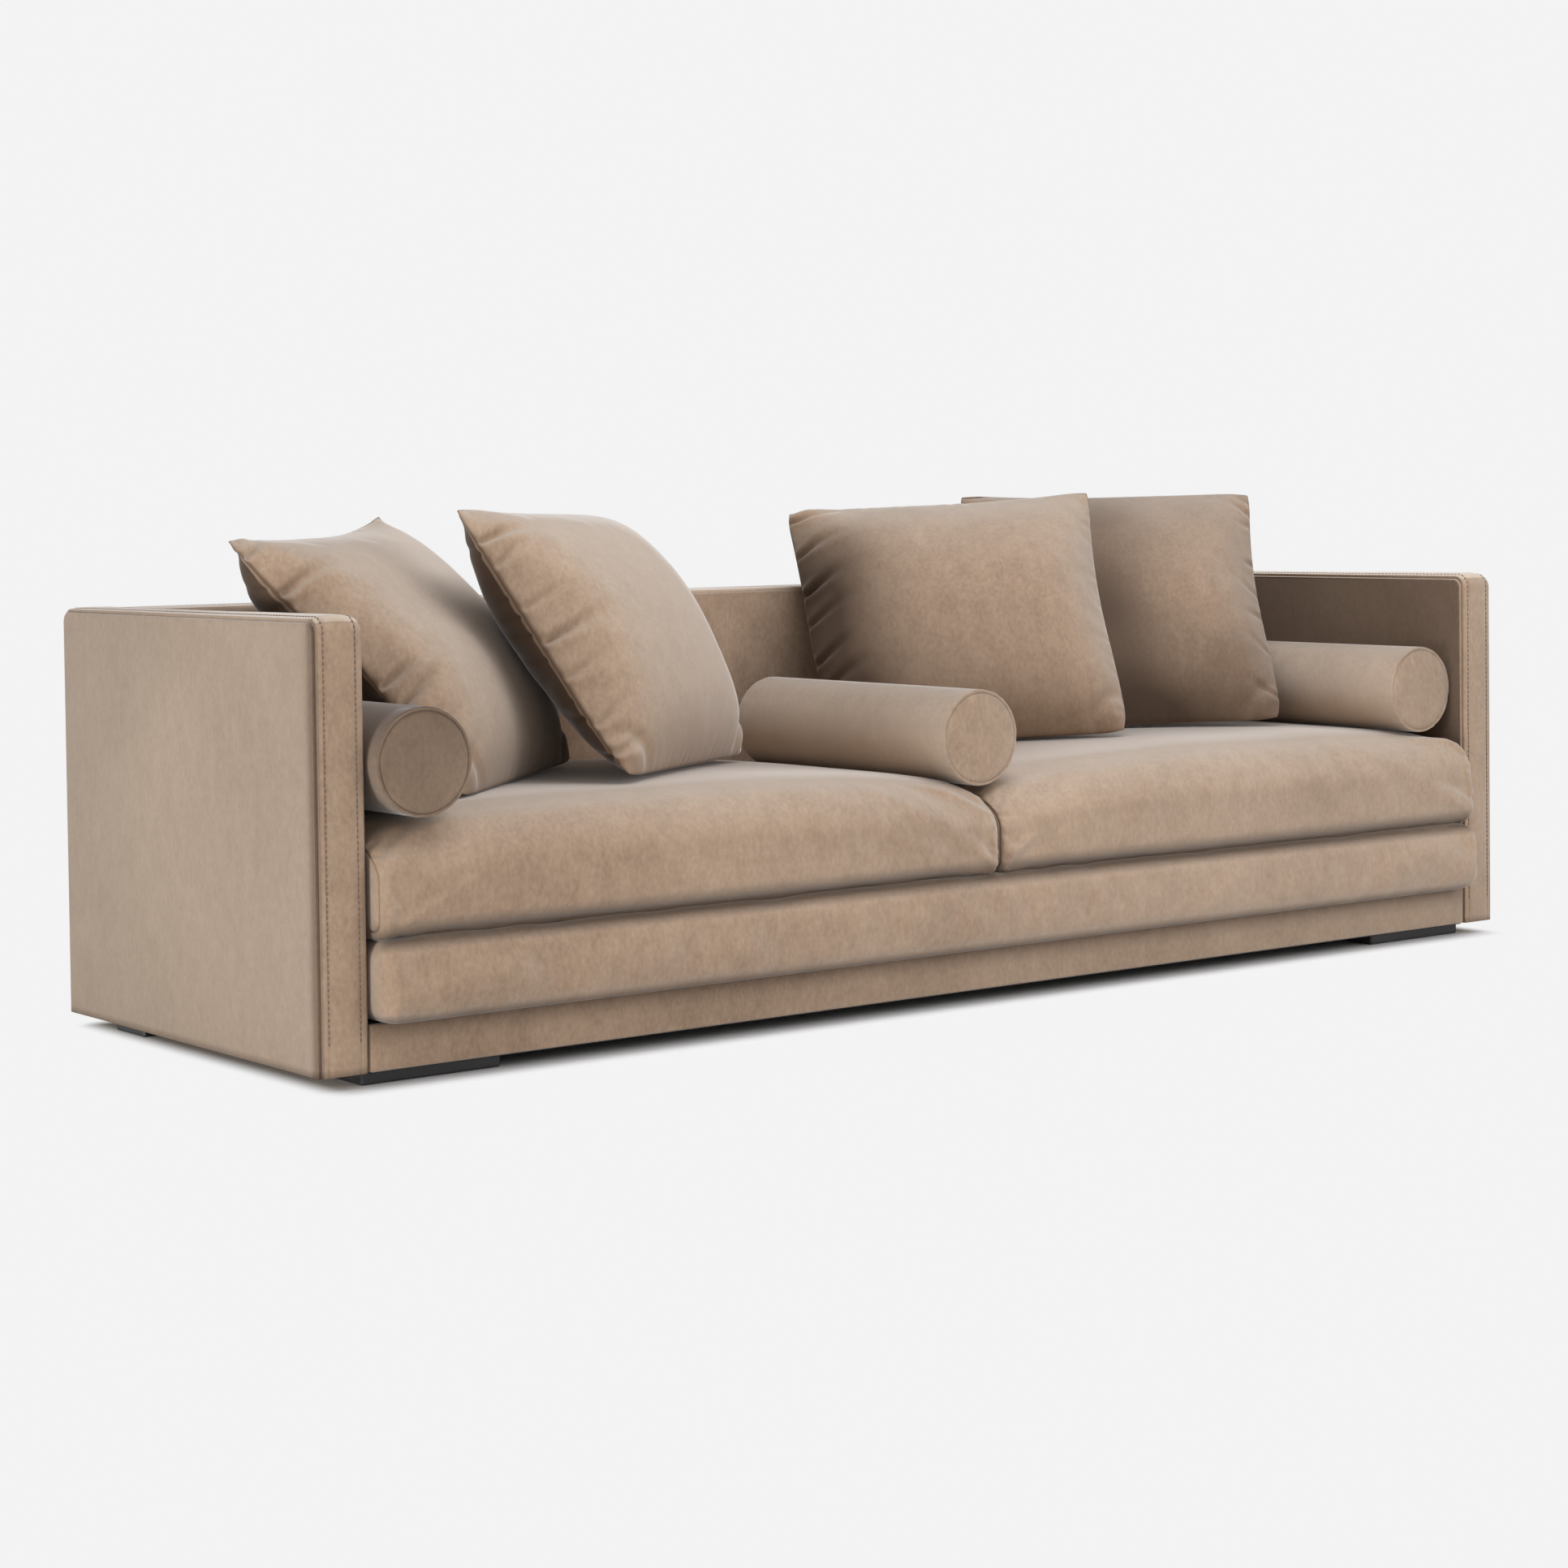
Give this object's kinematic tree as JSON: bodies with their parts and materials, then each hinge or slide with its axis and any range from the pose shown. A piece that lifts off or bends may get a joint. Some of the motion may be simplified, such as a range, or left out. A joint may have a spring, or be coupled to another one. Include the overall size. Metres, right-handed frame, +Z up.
{
  "type": "velour sofa",
  "caption": "Low box-shaped sofa with thin padded arms and back, a padded platform, seat cushions, knife-edge pillows and round bolsters on low block feet.",
  "frame": {"origin": "on the floor, under the middle of the sofa's bounding box", "axes": "+X along the sofa, to the right as seen from the front; -Y towards the front; +Z up"},
  "size_m": [2.59, 0.889, 0.864],
  "materials": {
    "velour": "matte",
    "timber": "matte",
    "board": "matte",
    "black_wood": "satin",
    "webbing": "matte",
    "lining": "matte",
    "steel": "satin"
  },
  "bodies": {
    "frame": {"front_left_foot": "black_wood", "front_right_foot": "black_wood", "rear_left_foot": "black_wood", "rear_right_foot": "black_wood", "base_front_rail": "timber", "base_rear_rail": "timber", "base_left_rail": "timber", "base_right_rail": "timber", "base_stretcher_1": "timber", "base_stretcher_2": "timber", "base_stretcher_3": "timber", "base_corner_block_front_left": "timber", "base_corner_block_front_right": "timber", "base_corner_block_rear_left": "timber", "base_corner_block_rear_right": "timber", "base_front_cover": "velour", "dust_cover": "lining", "arm_bolt_1": "steel", "arm_bolt_2": "steel", "arm_bolt_3": "steel", "arm_bolt_4": "steel", "back_bolt_1": "steel", "back_bolt_2": "steel", "left_arm_cover": "velour", "left_arm_top_rail": "timber", "left_arm_front_post": "timber", "left_arm_rear_post": "timber", "left_arm_bottom_rail": "timber", "left_arm_middle_rail": "timber", "left_arm_inner_panel": "board", "left_arm_outer_panel": "board", "right_arm_cover": "velour", "right_arm_top_rail": "timber", "right_arm_front_post": "timber", "right_arm_rear_post": "timber", "right_arm_bottom_rail": "timber", "right_arm_middle_rail": "timber", "right_arm_inner_panel": "board", "right_arm_outer_panel": "board", "back_cover": "velour", "back_top_rail": "timber", "back_bottom_rail": "timber", "back_post_1": "timber", "back_post_2": "timber", "back_post_3": "timber", "back_post_4": "timber", "back_webbing": "webbing", "seat_webbing": "webbing", "seat_platform_pad": "velour"},
    "left_seat": {"seat_cushion_left": "velour"},
    "right_seat": {"seat_cushion_right": "velour"},
    "left_back_pillow": {"pillow_left_back": "velour"},
    "left_front_pillow": {"pillow_left_front": "velour"},
    "right_back_pillow": {"pillow_right_back": "velour"},
    "right_front_pillow": {"pillow_right_front": "velour"},
    "left_bolster": {"bolster_left": "velour"},
    "middle_bolster": {"bolster_middle": "velour"},
    "right_bolster": {"bolster_right": "velour"}
  },
  "joints": [
    {"name": "left_seat_pull", "type": "slide", "parent": "frame", "child": "left_seat", "axis": [0, -1, 0], "range_m": [0, 0.8]},
    {"name": "right_seat_pull", "type": "slide", "parent": "frame", "child": "right_seat", "axis": [0, -1, 0], "range_m": [0, 0.8]},
    {"name": "left_back_pillow_lift", "type": "slide", "parent": "left_seat", "child": "left_back_pillow", "axis": [0, 0, 1], "range_m": [0, 0.36]},
    {"name": "left_front_pillow_lift", "type": "slide", "parent": "left_back_pillow", "child": "left_front_pillow", "axis": [0, 0, 1], "range_m": [0, 0.36]},
    {"name": "right_back_pillow_lift", "type": "slide", "parent": "right_seat", "child": "right_back_pillow", "axis": [0, 0, 1], "range_m": [0, 0.36]},
    {"name": "right_front_pillow_lift", "type": "slide", "parent": "right_back_pillow", "child": "right_front_pillow", "axis": [0, 0, 1], "range_m": [0, 0.36]},
    {"name": "left_bolster_pull", "type": "slide", "parent": "left_seat", "child": "left_bolster", "axis": [0, -1, 0], "range_m": [0, 0.62]},
    {"name": "middle_bolster_pull", "type": "slide", "parent": "right_seat", "child": "middle_bolster", "axis": [0, -1, 0], "range_m": [0, 0.62]},
    {"name": "right_bolster_pull", "type": "slide", "parent": "right_seat", "child": "right_bolster", "axis": [0, -1, 0], "range_m": [0, 0.62]}
  ]
}
